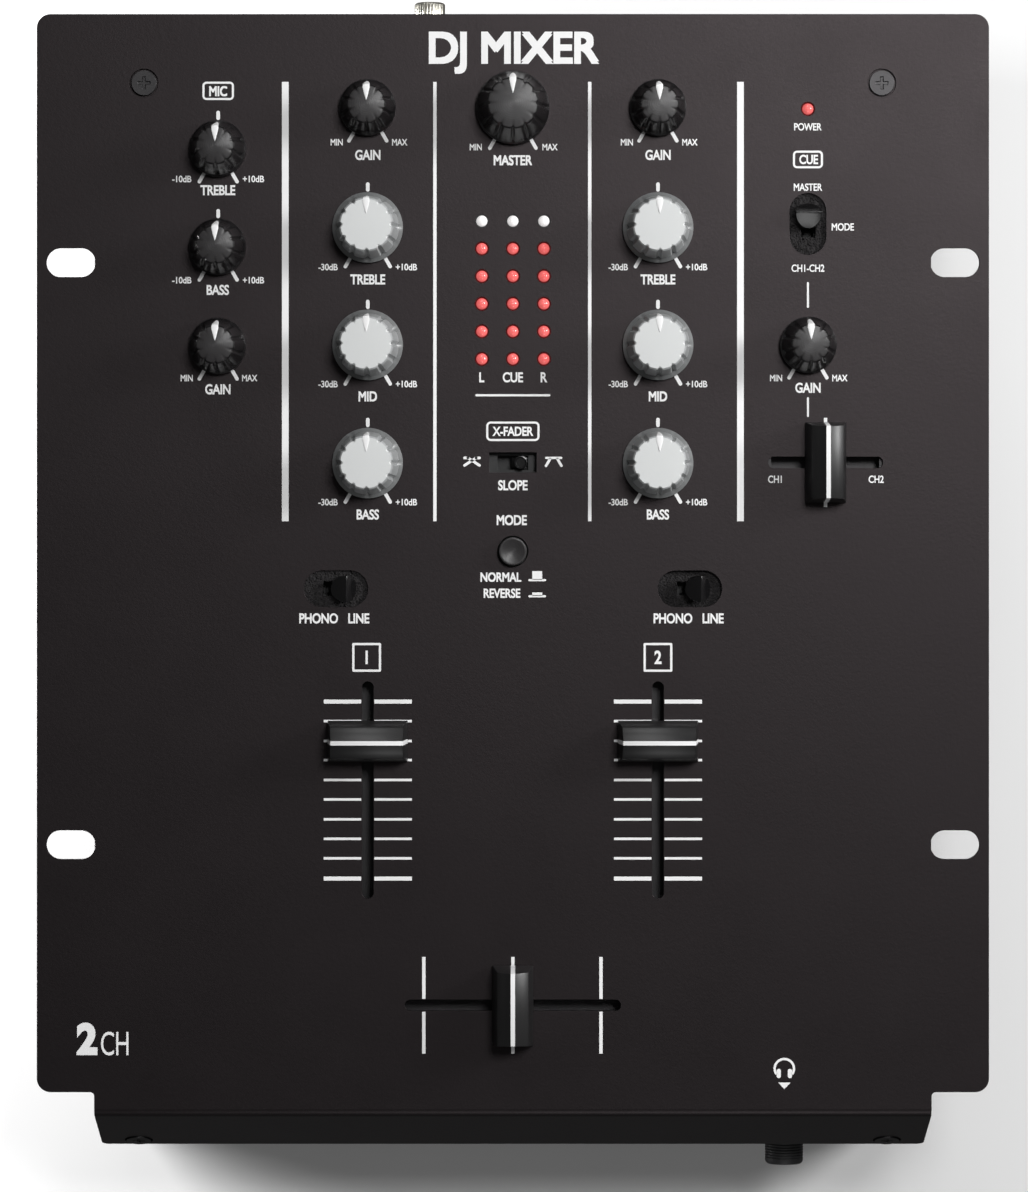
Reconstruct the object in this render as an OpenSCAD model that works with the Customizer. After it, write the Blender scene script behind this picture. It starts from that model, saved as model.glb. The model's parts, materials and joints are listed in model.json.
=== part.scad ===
// Two-channel scratch mixer: a folded steel case with pots, faders, switches and rear sockets.
// Z is up, the sockets are at +Y, and the origin is on the table under the middle of the mixer.
// A place on the panel is given as x from the middle and d forwards from the panel's rear edge.

/* [Top panel] */
// Width of the panel across its two mounting ears
panel_w = 254; // [250:0.5:260]
// Distance from the rear edge to the front of the ears
ear_d = 287.6; // [285:0.1:289]
// Corner radius of the ears
ear_r = 3.7; // [1:0.1:6]
// Radius of the inner corners beside the ears' front edges
notch_r = 1.1; // [0.5:0.1:2]
// Thickness of the panel's sheet
panel_t = 1.5; // [1.2:0.1:1.6]
// Height of the panel's face above the table
panel_z = 88; // [86:0.5:92]

/* [Front flap] */
// Distance from the rear edge to the start of the fold
fold_d = 292; // [290.5:0.1:293]
// Outer radius of the fold
fold_r = 2.5; // [2:0.1:3]
// Angle that the flap is folded down
flap_angle = 67; // [63:1:70]
// Length of the flap below its fold
flap_len = 27; // [24:0.5:28]
// Radius of the flap's free corners
flap_r = 2; // [1:0.5:4]

/* [Case] */
// Outer width of the case and the flap
case_w = 223.4; // [220:0.2:224]
// Thickness of the tray's sheet
tray_t = 1.2; // [1:0.1:1.5]
// Thickness of the front wall and the rear panel
wall_t = 1.5; // [1.2:0.1:1.8]
// Distance from the panel's rear edge to the rear panel's outer face
rear_d = 6; // [5:0.1:7]
// Distance from the panel's rear edge to the front wall's outer face
front_d = 303; // [302:0.1:304]
// Height of the rubber feet
foot_h = 6; // [5:0.5:8]

/* [Knobs] */
// Base radius, top radius and height of the small knobs
small_knob = [7.5, 4.75, 15];
// Base radius, top radius and height of the master knob
master_knob = [9.75, 6.4, 18];
// Skirt radius, top radius and height of the tone knobs
tone_knob = [9.4, 6.7, 16];
// Radius of every pot shaft
shaft_r = 3; // [2.9:0.05:3]

/* [Faders] */
// Distance of the channel controls from the middle
channel_x = 38.7; // [38:0.1:40]
// Width of the fader slots
slot_w = 3.05; // [2.8:0.05:3.4]
// Length, width and height of a fader cap, the length being along its travel
cap_size = [11, 21.6, 13];

/* [Sockets] */
// Radius of the headphone and microphone sockets' bores
phone_bore_r = 3.2; // [3.18:0.01:3.25]
// Reach of the headphone nose in front of the front wall
phone_reach = 9.5; // [8:0.5:10]
// Outer radius of the phono sockets' barrels
phono_r = 4.15; // [4.1:0.01:4.2]
// Reach of the ground thumb nut behind the panel's rear edge
nut_reach = 7.5; // [7:0.5:9]

/* [Hidden] */
$fn = 64;
// Gap between neighbouring solids that only touch
gap = 0.02;
// Radial clearance of a turning shaft or a sliding rod
run = 0.05;
// Overlap of the flat panel and the strip that is folded down from it
lap = 4;
// Facets around the fold
fold_steps = 10;

under_z = panel_z - panel_t;
board_t = 1.6;
board_z = panel_z - 8.5;
tray_z = foot_h + tray_t;
socket_board_z = tray_z + 16.4;
rear_in_d = rear_d + wall_t;
front_in_d = front_d - wall_t;
rear_y = (front_d + phone_reach - nut_reach) / 2;
rack_x = 117.9;
rack_d = [66.3, 221.6];
rack_slot = [13.1, 7.7];

mic_x = -78.6;
cue_x = 78.7;
cue_fader_x = 83.4;

pot_size = 10;
bushing_r = 3.5;
bushing_h = 5;
pot_nut_r = 5.5;
pot_nut_h = 2;
knob_gap = 0.8;
knob_roof = 2.5;

// Each knob: name, x, d, size
KNOBS = [
    ["mic_treble_knob", mic_x, 36.0, small_knob],
    ["mic_bass_knob", mic_x, 62.2, small_knob],
    ["mic_gain_knob", mic_x, 88.6, small_knob],
    ["ch1_gain_knob", -channel_x, 25.1, small_knob],
    ["ch1_treble_knob", -channel_x, 57.0, tone_knob],
    ["ch1_mid_knob", -channel_x, 88.3, tone_knob],
    ["ch1_bass_knob", -channel_x, 119.8, tone_knob],
    ["ch2_gain_knob", channel_x, 25.1, small_knob],
    ["ch2_treble_knob", channel_x, 57.0, tone_knob],
    ["ch2_mid_knob", channel_x, 88.3, tone_knob],
    ["ch2_bass_knob", channel_x, 119.8, tone_knob],
    ["master_knob", 0, 25.1, master_knob],
    ["cue_gain_knob", cue_x, 88.3, small_knob]
];

// Each fader: name, x, d, turn of its track, slot length, frame length, place of the cap on the track
FADERS = [
    ["ch1_fader", -channel_x, 207, 90, 57.9, 75, 13.1],
    ["ch2_fader", channel_x, 207, 90, 57.9, 75, 13.1],
    ["crossfader", 0, 264.4, 0, 57.6, 75, 0],
    ["cue_fader", cue_fader_x, 119.6, 0, 30.6, 33.9, 0]
];

// Each toggle: name, x, d, turn of its swing, length of its opening, lean at rest
TOGGLES = [
    ["ch1_source_lever", -47.2, 153.3, 0, 17.1, 15],
    ["ch2_source_lever", 47.2, 153.3, 0, 17.1, 15],
    ["cue_mode_lever", cue_x, 56, 90, 16.4, 15]
];
toggle_w = 9.7;
toggle_pivot_z = panel_z - 6.5;
toggle_len = 11.5;
toggle_cap_r = 3.5;
toggle_pin_r = 0.8;

// Meter columns and rows, and the power light
meter_x = [-8.27, 0, 8.27];
meter_d = 55.2;
meter_pitch = 7.36;
meter_rows = 6;
power_led = [cue_x, 25.3];
led_r = 1.5;
led_rim_r = 1.9;
led_hole_r = 1.85;

// Rods and carriage of a fader
rod_r = 1;
rod_y = 3.2;
rod_z = board_z + 3;
frame_w = 12;
lever = [4, 1.2];
lever_h = 8;

slope_d = 119.6;
slope_travel = 4.2;
slope_post_r = 1.8;
slope_slider = 5;
mode_d = 143.3;
mode_r = 3.75;
mode_travel = 2;

panel_screw = [98.4, 18.4];
screw_head_r = 3.35;
screw_dimple_r = 3.8;
screw_dimple = 0.9;
screw_hole_r = 1.6;
thread_r = 1.5;
shank_r = 1.45;
flap_screw_x = 101.5;
flap_screw_s = flap_len - 4;
foot_places = [[-90, 30], [90, 30], [-90, 275], [90, 275]];
flange_screw_d = [rear_in_d + 5, front_in_d - 5.5];
board_pillar_places = [[-95, 36], [95, 36], [-95, 136], [95, 136], [-95, 158], [95, 158], [-95, 274], [95, 274]];
base_pillar_places = [[-98, 24], [98, 24], [-98, 54], [98, 54]];
flange_screw_x = 80;

socket_z = 43;
phono_z = [34, 48];
phono_x = [-62, -44, -2, 16, 38, 56];
phono_root_r = phono_r - 0.55;
mic_socket_x = -88;
headphone_x = 74.8;
ground_x = -22.9;
inlet_x = 75;
inlet_z = 30;
rocker_x = 92;
rocker_lean = 8;

// Where the sloping line parallel to the flap's inner face, inset by off, meets height z or distance d
function slope_start(off) = [
    fold_d + (fold_r - panel_t - off) * sin(flap_angle),
    panel_z - fold_r + (fold_r - panel_t - off) * cos(flap_angle)
];
function lean_d(z, off) = slope_start(off)[0] + (slope_start(off)[1] - z) / tan(flap_angle);
function lean_z(d, off) = slope_start(off)[1] - (d - slope_start(off)[0]) * tan(flap_angle);

// Puts a shape at x, at d forwards from the panel's rear edge, and at height z
module at(x, d, z = 0) translate([x, rear_y - d, z]) children();

// Sweeps an outline drawn in d and z across the case, w wide
module across(w) at(0, 0) rotate([90, 0, -90]) linear_extrude(w, center = true) children();

// Stands a shape on the flap's outer face, s down from the fold
module on_flap(x, s)
    at(x, fold_d, panel_z - fold_r) rotate([flap_angle, 0, 0]) translate([0, -s, fold_r]) children();

// Turns a shape so that it points backwards from the rear, or forwards from the front
module backwards() rotate([-90, 0, 0]) children();
module forwards() rotate([90, 0, 0]) children();

module slot(length, width) {
    square([length - width, width], center = true);
    for (side = [-1, 1]) translate([side * (length - width) / 2, 0]) circle(d = width);
}

module rounded_rect(size, r) {
    square([size[0] - 2 * r, size[1]], center = true);
    square([size[0], size[1] - 2 * r], center = true);
    for (sx = [-1, 1], sy = [-1, 1]) translate([sx * (size[0] / 2 - r), sy * (size[1] / 2 - r)]) circle(r);
}

// Material that rounds an inner corner, in the quarter plane of positive x and y
module corner_fill(r) difference() {
    square(r);
    translate([r, r]) circle(r);
}

module block(x, y, z0, z1) translate([0, 0, z0]) linear_extrude(z1 - z0) square([x, y], center = true);

module rod(r, z0, z1) translate([0, 0, z0]) cylinder(r = r, h = z1 - z0);

// A cross-head screw: head of radius r from z 0 up to head_h, and a shank below it
module cross_screw(r, head_h, shank_len) {
    difference() {
        union() {
            rod(r, 0, head_h);
            rod(shank_r, -shank_len, 0);
        }
        for (a = [0, 90]) rotate(a) block(r, 0.8, head_h - 0.6, head_h + 1);
    }
}

module panel_outline() {
    at(0, ear_d / 2) rounded_rect([panel_w, ear_d], ear_r);
    translate([-case_w / 2, rear_y - fold_d + 1]) square([case_w, fold_d - 1 - ear_d + ear_r]);
    for (side = [-1, 1]) at(side * case_w / 2, ear_d) rotate(side > 0 ? -90 : 180) corner_fill(notch_r);
}

module panel_openings() {
    for (k = KNOBS) at(k[1], k[2]) circle(bushing_r + 0.1);
    for (f = FADERS) at(f[1], f[2]) rotate(f[3]) slot(f[4], slot_w);
    for (t = TOGGLES) at(t[1], t[2]) rotate(t[3]) slot(t[4], toggle_w);
    for (x = meter_x, row = [0 : meter_rows - 1]) at(x, meter_d + row * meter_pitch) circle(led_hole_r);
    at(power_led[0], power_led[1]) circle(led_hole_r);
    at(0, slope_d) square([12.6, 5.35], center = true);
    at(0, mode_d) circle(mode_r + 0.35);
    for (side = [-1, 1]) {
        at(side * panel_screw[0], panel_screw[1]) circle(screw_hole_r);
        for (d = rack_d) at(side * rack_x, d) slot(rack_slot[0], rack_slot[1]);
    }
}

module top_panel() color("#1b191a") difference() {
    union() {
        translate([0, 0, under_z]) linear_extrude(panel_t) difference() {
            panel_outline();
            panel_openings();
        }
        across(case_w) folded_strip();
    }
    for (side = [-1, 1]) {
        at(side * panel_screw[0], panel_screw[1]) rod(screw_dimple_r, panel_z - screw_dimple, panel_z + 1);
        on_flap(side * flap_screw_x, flap_screw_s) {
            rod(screw_hole_r, -panel_t - 1, 1);
            rod(screw_dimple_r, -screw_dimple, 1);
        }
        on_flap(side * case_w / 2, flap_len) rotate(side > 0 ? 90 : 0)
            translate([0, 0, -panel_t - 1]) linear_extrude(panel_t + 2) difference() {
                translate([-1, -1]) square(flap_r + 1);
                translate([flap_r, flap_r]) circle(flap_r);
            }
    }
}

// A point at radius r and angle a round the fold, in d and z
function fold_point(r, a) = [fold_d + r * sin(a), panel_z - fold_r + r * cos(a)];

// The strip's outline in d and z: flat, round the fold, then straight down the flap
module folded_strip() {
    inner_r = fold_r - panel_t;
    down = flap_len * [cos(flap_angle), -sin(flap_angle)];
    polygon(concat(
        [[fold_d - lap, panel_z]],
        [for (i = [0 : fold_steps]) fold_point(fold_r, i * flap_angle / fold_steps)],
        [fold_point(fold_r, flap_angle) + down, fold_point(inner_r, flap_angle) + down],
        [for (i = [fold_steps : -1 : 0]) fold_point(inner_r, i * flap_angle / fold_steps)],
        [[fold_d - lap, under_z]]
    ));
}

// The tray's outline across the case: a floor, two sides and a flange turned in at the top of each
module tray_section() {
    top_z = under_z - gap;
    difference() {
        translate([-case_w / 2, foot_h]) square([case_w, top_z - foot_h]);
        translate([-case_w / 2 + tray_t, tray_z]) square([case_w - 2 * tray_t, top_z - tray_t - tray_z]);
        translate([-case_w / 2 + 11.2, tray_z]) square([case_w - 22.4, panel_z]);
    }
}

module bottom_tray() color("#1d1b1c") difference() {
    intersection() {
        at(0, 0) rotate([90, 0, 0]) linear_extrude(front_d) tray_section();
        across(case_w + 2) polygon([
            [rear_in_d + gap, 0],
            [front_in_d - gap, 0],
            [front_in_d - gap, lean_z(front_in_d - gap, wall_t + 2 * gap)],
            [lean_d(panel_z, wall_t + 2 * gap), panel_z],
            [rear_in_d + gap, panel_z]
        ]);
    }
    for (p = foot_places) at(p[0], p[1]) rod(screw_hole_r, foot_h - 1, tray_z + 1);
    for (side = [-1, 1], d = flange_screw_d) at(side * flange_screw_x, d) rod(screw_hole_r, foot_h - 1, tray_z + 1);
}

module front_wall() color("#1b1a1c") difference() {
    top_z = panel_z - 8;
    union() {
        across(case_w) polygon([
            [front_d, foot_h],
            [front_d, lean_z(front_d, gap)],
            [lean_d(top_z, gap), top_z],
            [lean_d(top_z, gap + wall_t), top_z],
            [front_in_d, lean_z(front_in_d, gap + wall_t)],
            [front_in_d, foot_h]
        ]);
        across(case_w - 15) translate([front_in_d - 11, tray_z + gap]) square([11.5, wall_t]);
    }
    at(headphone_x, front_d - 5, socket_z) forwards() rod(5.35, 0, 10);
    for (side = [-1, 1]) {
        on_flap(side * flap_screw_x, flap_screw_s) rod(thread_r, -8, 1);
        at(side * flange_screw_x, flange_screw_d[1]) rod(thread_r, foot_h + 1, tray_z + 4);
    }
}

module rear_panel() color("#1d1c1d") difference() {
    union() {
        across(case_w) translate([rear_d, foot_h]) square([wall_t, under_z - gap - foot_h]);
        across(case_w - 15) translate([rear_in_d - 0.5, tray_z + gap]) square([11, wall_t]);
        across(case_w - 23.4) translate([rear_in_d - 0.5, under_z - gap - wall_t]) square([10, wall_t]);
        for (side = [-1, 1]) at(side * 94, rear_in_d + 8.5) block(12, 18, under_z - gap - wall_t, under_z - gap);
    }
    for (side = [-1, 1]) {
        at(side * panel_screw[0], panel_screw[1]) rod(thread_r, under_z - 4, panel_z);
        at(side * flange_screw_x, flange_screw_d[0]) rod(thread_r, foot_h + 1, tray_z + 4);
    }
    for (x = phono_x, z = phono_z) at(x, rear_d + 5, z) backwards() rod(phono_r + 0.25, 0, 10);
    at(mic_socket_x, rear_d + 5, socket_z) backwards() rod(5.35, 0, 10);
    at(ground_x, rear_d + 5, socket_z) backwards() rod(2.1, 0, 10);
    at(inlet_x, rear_d + 5, inlet_z) backwards() rod(4.1, 0, 10);
    at(rocker_x, rear_d, socket_z) rotate([90, 0, 0]) block(11.2, 17.2, -5, 5);
}

module panel_screws() color("#151414") {
    for (side = [-1, 1]) {
        at(side * panel_screw[0], panel_screw[1], panel_z - screw_dimple + gap) cross_screw(screw_head_r, 1.2, 5);
        on_flap(side * flap_screw_x, flap_screw_s) translate([0, 0, gap - screw_dimple])
            cross_screw(screw_head_r, 1.2, 4);
    }
}

module chassis_screws() color("#8d8f92") {
    for (p = board_pillar_places) at(p[0], p[1], board_z - board_t - gap)
        mirror([0, 0, 1]) cross_screw(2.75, 1.7, 6);
    for (p = base_pillar_places) at(p[0], p[1], socket_board_z + gap) cross_screw(2.75, 1.7, 9);
    for (p = foot_places) at(p[0], p[1], foot_h / 2 - gap) mirror([0, 0, 1]) cross_screw(2.9, 1.6, foot_h + 1);
    for (side = [-1, 1], d = flange_screw_d) at(side * flange_screw_x, d, foot_h - gap)
        mirror([0, 0, 1]) cross_screw(2.75, 1.7, 5);
}

module rubber_feet() color("#111111") for (p = foot_places) at(p[0], p[1]) difference() {
    cylinder(r1 = 7, r2 = 8, h = foot_h - gap);
    rod(3.3, -1, foot_h / 2);
    rod(screw_hole_r, 0, foot_h + 1);
}

// A board with its parts side up, from d0 to d1, drilled for its pillars' screws
module board(d0, d1, z, places) difference() {
    at(0, (d0 + d1) / 2) block(208, d1 - d0, z - board_t, z);
    for (p = places) at(p[0], p[1]) rod(screw_hole_r, z - board_t - 1, z + 1);
}

module control_board() color("#1d4a2c") board(12, 147.6, board_z, [for (i = [0 : 3]) board_pillar_places[i]]);

module fader_board() color("#1d4a2c") board(148.4, 284, board_z, [for (i = [4 : 7]) board_pillar_places[i]]);

module connector_board() color("#1d4a2c") board(9, 60, socket_board_z, base_pillar_places);

module board_pillars() color("#b9bbbd") {
    for (p = board_pillar_places) at(p[0], p[1]) difference() {
        rod(2.75, board_z + gap, under_z - gap);
        rod(thread_r, board_z - 1, under_z - 1);
    }
    for (p = base_pillar_places) at(p[0], p[1]) difference() {
        rod(3, tray_z + gap, socket_board_z - board_t - gap);
        rod(thread_r, tray_z + 2, socket_board_z);
    }
}

module pot_bodies() color("#8a8c90") for (k = KNOBS) at(k[1], k[2]) difference() {
    union() {
        block(pot_size, pot_size, board_z + gap, under_z - 0.2);
        rod(bushing_r, under_z - 1, panel_z + bushing_h);
    }
    rod(shaft_r + run, board_z + 0.6, panel_z + bushing_h + 1);
}

module pot_nuts() color("#a9abae") for (k = KNOBS) at(k[1], k[2]) difference() {
    translate([0, 0, panel_z + gap]) cylinder(r = pot_nut_r, h = pot_nut_h, $fn = 6);
    rod(bushing_r + gap, panel_z - 1, panel_z + pot_nut_h + 1);
}

// A knob over its nut and bushing, as an outline turned about the pot's axis
module knob_shell(size, skirt_h, neck_r) rotate_extrude() polygon([
    [pot_nut_r + 0.4, knob_gap],
    [size[0], knob_gap],
    [size[0], skirt_h],
    [neck_r, skirt_h + 0.8],
    [size[1] + 0.5, size[2] - 0.6],
    [size[1], size[2]],
    [0, size[2]],
    [0, size[2] - knob_roof],
    [shaft_r + gap, size[2] - knob_roof],
    [shaft_r + gap, bushing_h + 0.6],
    [bushing_r + 0.3, bushing_h + 0.6],
    [bushing_r + 0.3, pot_nut_h + 1],
    [pot_nut_r + 0.4, pot_nut_h + 1]
]);

// A knob with flutes down its side, the first of them left out for the pointer
module fluted_shell(size, skirt_h, neck_r, flutes, flute_r) difference() {
    knob_shell(size, skirt_h, neck_r);
    for (i = [1 : flutes - 1]) rotate(90 + i * 360 / flutes) translate([neck_r + 0.2, 0, skirt_h + 0.8])
        rotate([0, -atan((neck_r - size[1] - 0.5) / (size[2] - skirt_h)), 0]) rod(flute_r, 0, size[2]);
}

module knob(k) at(k[1], k[2], panel_z) {
    if (k[3] == tone_knob) color("#aab0b2") fluted_shell(k[3], 1.8, 8.3, 12, 0.6);
    else color("#232122") fluted_shell(k[3], 3.2, k[3][0] - 0.6, k[3] == master_knob ? 12 : 10, 0.5);
    color("#8a8c90") rod(shaft_r, board_z + 0.8 - panel_z, k[3][2] - knob_roof - gap);
}

// Fader parts lie along the track's X axis, with the cap at place along it
module on_track(f, place = 0) at(f[1], f[2]) rotate(f[3]) translate([place, 0, 0]) children();

// A round bar or bore of length l along the track's rods
module along_rods(r, l) for (side = [-1, 1]) translate([0, side * rod_y, rod_z]) rotate([0, 90, 0])
    cylinder(r = r, h = l, center = true);

module fader_frames() color("#8f9296") for (f = FADERS) on_track(f) difference() {
    block(f[5], frame_w, board_z + gap, under_z - 0.2);
    block(f[5] - 3, frame_w - 2.4, board_z + 0.6, under_z - 1);
    block(f[5] - 5, lever[0], board_z + 1, panel_z);
    along_rods(rod_r + gap, f[5] - 1);
}

module fader_rods() color("#c9cbcd") for (f = FADERS) on_track(f) along_rods(rod_r, f[5] - 1.2);

module fader_carriage(f) color("#d8d6cf") on_track(f, f[6]) difference() {
    union() {
        block(10, frame_w - 3, rod_z - 1.8, rod_z + 1.8);
        block(lever[0], lever[1], rod_z, panel_z + lever_h);
    }
    along_rods(rod_r + run, frame_w);
}

// Half of a cap's outline along its travel: a leaning wall and a low roof up to the ridge
cap_side = [[cap_size[0] / 2, 0.8], [4.15, cap_size[2] - 2.2], [0.6, cap_size[2]]];

module fader_cap(f) color("#262526") on_track(f, f[6]) translate([0, 0, panel_z]) difference() {
    intersection() {
        rotate([90, 0, 0]) linear_extrude(cap_size[1] + 2, center = true)
            polygon(concat(cap_side, [for (i = [len(cap_side) - 1 : -1 : 0]) [-cap_side[i][0], cap_side[i][1]]]));
        rotate([90, 0, 90]) linear_extrude(cap_size[0] + 2, center = true) polygon([
            [-cap_size[1] / 2, 0],
            [cap_size[1] / 2, 0],
            [cap_size[1] / 2 - 1.3, cap_size[2] + 1],
            [-cap_size[1] / 2 + 1.3, cap_size[2] + 1]
        ]);
    }
    block(lever[0] + 2 * gap, lever[1] + 2 * gap, 0, lever_h + gap);
}

// The body under a toggle: a well that the lever swings in and a cross bore for its pin
module toggle_body() difference() {
    block(13, 7, board_z + gap, toggle_pivot_z + 2.5);
    block(9, 3.4, board_z + 0.3, panel_z);
    translate([0, 0, toggle_pivot_z]) rotate([90, 0, 0]) cylinder(r = toggle_pin_r + run, h = 6.2, center = true);
}

module switch_bodies() color("#3a3c40") {
    for (t = TOGGLES) at(t[1], t[2]) rotate(t[3]) toggle_body();
    at(0, slope_d) difference() {
        block(slope_slider + slope_travel + 4.8, 7.5, board_z + gap, panel_z - 3.6);
        block(slope_slider + slope_travel + 0.6, 4.1, board_z + 0.5, panel_z - 5);
        block(2 * slope_post_r + slope_travel + 0.4, 2 * slope_post_r + 0.2, board_z + 1, panel_z);
    }
    at(0, mode_d) difference() {
        block(7, 7, board_z + gap, panel_z - 3.8);
        rod(thread_r + run, board_z + 0.3, panel_z);
    }
}

module toggle_lever(t) color("#1e1d1e") at(t[1], t[2], toggle_pivot_z) rotate(t[3]) {
    rotate([0, t[5], 0]) {
        sphere(1.5);
        rod(1.2, 0, toggle_len - 4);
        translate([0, 0, toggle_len - 5.4]) cylinder(r1 = toggle_cap_r - 1.1, r2 = toggle_cap_r, h = 1.2);
        intersection() {
            rod(toggle_cap_r, toggle_len - 4.4, toggle_len + 1);
            rotate([90, 0, 0]) linear_extrude(9, center = true) polygon([
                [-4, toggle_len - 5], [-4, toggle_len - 3.9], [-0.3, toggle_len],
                [0.3, toggle_len], [4, toggle_len - 3.9], [4, toggle_len - 5]
            ]);
        }
    }
    rotate([90, 0, 0]) cylinder(r = toggle_pin_r, h = 6, center = true);
}

module dust_foams() color("#4a4a4c") for (t = TOGGLES) at(t[1], t[2]) rotate(t[3])
    translate([0, 0, under_z - gap - 1.3]) linear_extrude(1.3) difference() {
        square([t[4] + 3, toggle_w + 3], center = true);
        slot(7.2, 4);
    }

module slope_post() color("#1c1b1c") at(slope_travel / 2, slope_d) {
    block(slope_slider, 3.8, board_z + 0.7, panel_z - 5.2);
    rod(slope_post_r, panel_z - 6, panel_z - 0.5);
}

module mode_button() color("#232223") at(0, mode_d) difference() {
    union() {
        rod(mode_r, panel_z - 1.5, panel_z + 3);
        rod(thread_r, board_z + 0.4 + mode_travel, panel_z - 1);
    }
    translate([0, 0, panel_z + 14.6]) sphere(12.2);
}

module led() {
    rod(led_rim_r, board_z + gap, board_z + 1);
    rod(led_r, board_z + 0.5, panel_z - 0.6);
    translate([0, 0, panel_z - 0.6]) sphere(led_r);
}

module meter_row(row) for (x = meter_x) at(x, meter_d + row * meter_pitch) led();

module red_leds() color("#c8141c") {
    for (row = [1 : meter_rows - 1]) meter_row(row);
    at(power_led[0], power_led[1]) led();
}

module white_leds() color("#f4f4f2") meter_row(0);

module led_holder() color("#19191a") difference() {
    at(0, meter_d + 2.5 * meter_pitch) block(24, 45, board_z + gap, under_z - 0.5);
    for (x = meter_x, row = [0 : meter_rows - 1]) at(x, meter_d + row * meter_pitch)
        rod(led_rim_r + 3 * gap, board_z - 1, panel_z);
}

// A quarter-inch socket: a body behind the wall and a threaded nose through it, the nose pointing up Z from the wall
module phone_jack(reach) difference() {
    union() {
        block(16, 14, -22, -wall_t - gap);
        rod(5.25, -wall_t - 1, reach);
    }
    rod(phone_bore_r, -20, reach + 1);
}

module phone_jacks() color("#4b4d50") {
    at(headphone_x, front_d, socket_z) forwards() phone_jack(phone_reach);
    at(mic_socket_x, rear_d, socket_z) backwards() phone_jack(5);
}

module jack_nuts() color("#2a2a2b") {
    at(headphone_x, front_d, socket_z) forwards() jack_nut();
    at(mic_socket_x, rear_d, socket_z) backwards() jack_nut();
}

module jack_nut() difference() {
    rod(7, gap, 2.5);
    rod(5.25 + gap, -1, 4);
}

module rca_housings() color("#26272a") for (x = phono_x) at(x, rear_in_d + gap) difference() {
    translate([-6, -13, socket_board_z + gap]) cube([12, 13, 32]);
    for (z = phono_z) translate([0, 0, z]) rotate([90, 0, 0]) rod(phono_root_r + gap, -1, 4);
}

module rca_barrels() color("#cfd0d2") for (x = phono_x, z = phono_z) at(x, rear_in_d, z) backwards() difference() {
    union() {
        rod(phono_root_r, -3.9, wall_t + 1);
        rod(phono_r, wall_t + 0.3, 10);
    }
    rod(phono_root_r - 0.5, -4.9, 4);
    rod(phono_r - 0.5, 3, 11);
}

module rca_insert() difference() {
    union() {
        rod(phono_root_r - 0.5 - gap, -3.9, 4);
        rod(phono_r - 0.5 - gap, 3 + gap, 9.6);
    }
    rod(1.6, -2, 11);
}

module rca_red_inserts() color("#c02a2a") for (x = phono_x) at(x, rear_in_d, phono_z[0]) backwards() rca_insert();

module rca_white_inserts() color("#e9e9e4") for (x = phono_x) at(x, rear_in_d, phono_z[1]) backwards() rca_insert();

module ground_stud() color("#c9b27a") at(ground_x, rear_d, socket_z) backwards() {
    translate([0, 0, -wall_t - gap - 2.5]) cylinder(r = 3.6, h = 2.5, $fn = 6);
    rod(2, -wall_t - 1, rear_d + nut_reach - 1);
    translate([0, 0, gap]) cylinder(r = 3.6, h = 1.8, $fn = 6);
}

module ground_thumb_nut() color("#d7d2c4") at(ground_x, rear_d, socket_z) backwards() difference() {
    rod(4.2, 3.5, rear_d + nut_reach);
    rod(2 + run, 0, 20);
    for (a = [0 : 18 : 342]) rotate(a) translate([4.35, 0, 0]) rod(0.35, rear_d, rear_d + nut_reach - 1);
}

module dc_inlet() color("#1a1a1b") at(inlet_x, rear_d, inlet_z) backwards() {
    difference() {
        union() {
            translate([-4.5, -5, -16]) cube([9, 11.3, 16 - wall_t - gap]);
            rod(4, -wall_t - 1, 0.4);
        }
        rod(2.85, -11, 2);
    }
    rod(1, -12, -0.8);
}

module power_switch_frame() color("#181819") at(rocker_x, rear_d, socket_z) backwards() difference() {
    union() {
        block(13, 19, gap, 1.2);
        block(11, 17, -13, 0.6);
    }
    block(9.6, 15.4, -12, 2);
    translate([0, 0, -1]) rotate([0, 90, 0]) cylinder(r = 1.05, h = 10.6, center = true);
}

module power_rocker() color("#111112") at(rocker_x, rear_d, socket_z) backwards()
    translate([0, 0, -1]) rotate([rocker_lean, 0, 0]) {
        rotate([90, 0, 90]) linear_extrude(9.2, center = true)
            polygon([[-7, 3.2], [-7, 0.5], [-3, -4], [3, -4], [7, 0.5], [7, 3.2], [0, 1.8]]);
        rotate([0, 90, 0]) cylinder(r = 1, h = 10.4, center = true);
    }

module filter_capacitors() color("#20305c") {
    for (x = [-20, -6, 8]) at(x, 42) rod(5, socket_board_z + gap, socket_board_z + 16);
    for (x = [24, 40]) at(x, 44) rod(6.3, socket_board_z + gap, socket_board_z + 20);
}

module regulator_heatsink() color("#9fa2a5") at(70, 46) translate([0, 0, socket_board_z + gap]) linear_extrude(25) {
    square([30, 2], center = true);
    for (x = [-14.2 : 4.05 : 14.2]) translate([x, 2]) square([1.2, 10], center = true);
}

// Flat cables: from the socket board up to the control board, on to the fader board, and down to the headphone jack
module ribbon_cables() color("#8b8d90") {
    at(-50, 56) block(30, 0.9, socket_board_z + gap, board_z - board_t - gap);
    across(30) polygon([
        [140, board_z - board_t - gap], [140, board_z - 9], [156, board_z - 9], [156, board_z - board_t - gap],
        [155, board_z - board_t - gap], [155, board_z - 8], [141, board_z - 8], [141, board_z - board_t - gap]
    ]);
    at(headphone_x, front_d - 23) block(8, 0.9, socket_z - 5, board_z - board_t - gap);
}

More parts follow.
